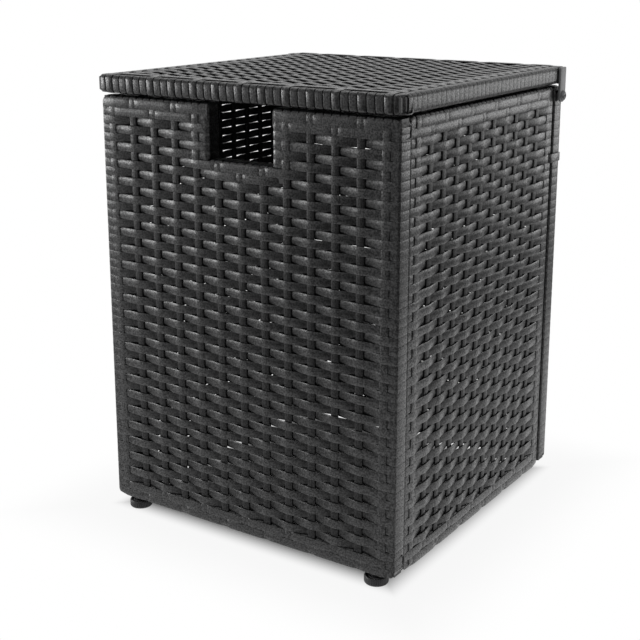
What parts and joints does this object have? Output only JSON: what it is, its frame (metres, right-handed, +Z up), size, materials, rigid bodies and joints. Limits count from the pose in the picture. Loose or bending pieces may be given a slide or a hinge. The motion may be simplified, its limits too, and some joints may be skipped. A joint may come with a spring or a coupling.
{
  "type": "propane tank cover table",
  "caption": "Square side table that hides a gas bottle: woven strip panels on steel tube frames, a hose notch, a hinged woven lid and screw-in levelling feet.",
  "frame": {"origin": "on the floor, under the middle of the table", "axes": "+Z up, the panel with the hose notch faces -Y, the hinge runs along X at the back"},
  "size_m": [0.4178, 0.404, 0.5367],
  "materials": {
    "woven_strip": "satin flat strip with lengthwise ridges and a fine mottled grain",
    "black_steel": "satin black powder coat",
    "grey_steel": "light grey satin coat",
    "zinc_steel": "bright zinc",
    "foot_plastic": "satin moulded black, knurled rim",
    "rubber": "matte"
  },
  "bodies": {
    "case": {"back_frame": "black_steel", "back_weave": "woven_strip", "corner_bolts": "zinc_steel", "corner_inserts": "zinc_steel", "corner_tie_left": "woven_strip", "corner_tie_right": "woven_strip", "foot_nuts": "zinc_steel", "front_frame": "black_steel", "front_weave": "woven_strip", "hinge_bolts": "zinc_steel", "hinge_inserts": "zinc_steel", "hinge_spacers": "zinc_steel", "left_frame": "black_steel", "left_weave": "woven_strip", "right_frame": "black_steel", "right_weave": "woven_strip"},
    "lid": {"lid_frame": "black_steel", "lid_weave": "woven_strip", "lid_cross_bars": "black_steel", "lid_pads": "rubber", "hinge_plate_left": "grey_steel", "hinge_plate_right": "grey_steel"},
    "foot_back_left": {"foot_back_left": "foot_plastic"},
    "foot_back_right": {"foot_back_right": "foot_plastic"},
    "foot_front_left": {"foot_front_left": "foot_plastic"},
    "foot_front_right": {"foot_front_right": "foot_plastic"},
    "foot_left_back": {"foot_left_back": "foot_plastic"},
    "foot_left_front": {"foot_left_front": "foot_plastic"},
    "foot_right_back": {"foot_right_back": "foot_plastic"},
    "foot_right_front": {"foot_right_front": "foot_plastic"}
  },
  "joints": [
    {"name": "lid_hinge", "type": "hinge", "parent": "case", "child": "lid", "pos_m": [0, 0.1882, 0.5003], "axis": [-1, 0, 0], "range_deg": [0, 100]},
    {"name": "foot_back_left_height", "type": "slide", "parent": "case", "child": "foot_back_left", "axis": [0, 0, -1], "range_m": [0, 0.01]},
    {"name": "foot_back_right_height", "type": "slide", "parent": "case", "child": "foot_back_right", "axis": [0, 0, -1], "range_m": [0, 0.01]},
    {"name": "foot_front_left_height", "type": "slide", "parent": "case", "child": "foot_front_left", "axis": [0, 0, -1], "range_m": [0, 0.01]},
    {"name": "foot_front_right_height", "type": "slide", "parent": "case", "child": "foot_front_right", "axis": [0, 0, -1], "range_m": [0, 0.01]},
    {"name": "foot_left_back_height", "type": "slide", "parent": "case", "child": "foot_left_back", "axis": [0, 0, -1], "range_m": [0, 0.01]},
    {"name": "foot_left_front_height", "type": "slide", "parent": "case", "child": "foot_left_front", "axis": [0, 0, -1], "range_m": [0, 0.01]},
    {"name": "foot_right_back_height", "type": "slide", "parent": "case", "child": "foot_right_back", "axis": [0, 0, -1], "range_m": [0, 0.01]},
    {"name": "foot_right_front_height", "type": "slide", "parent": "case", "child": "foot_right_front", "axis": [0, 0, -1], "range_m": [0, 0.01]}
  ]
}
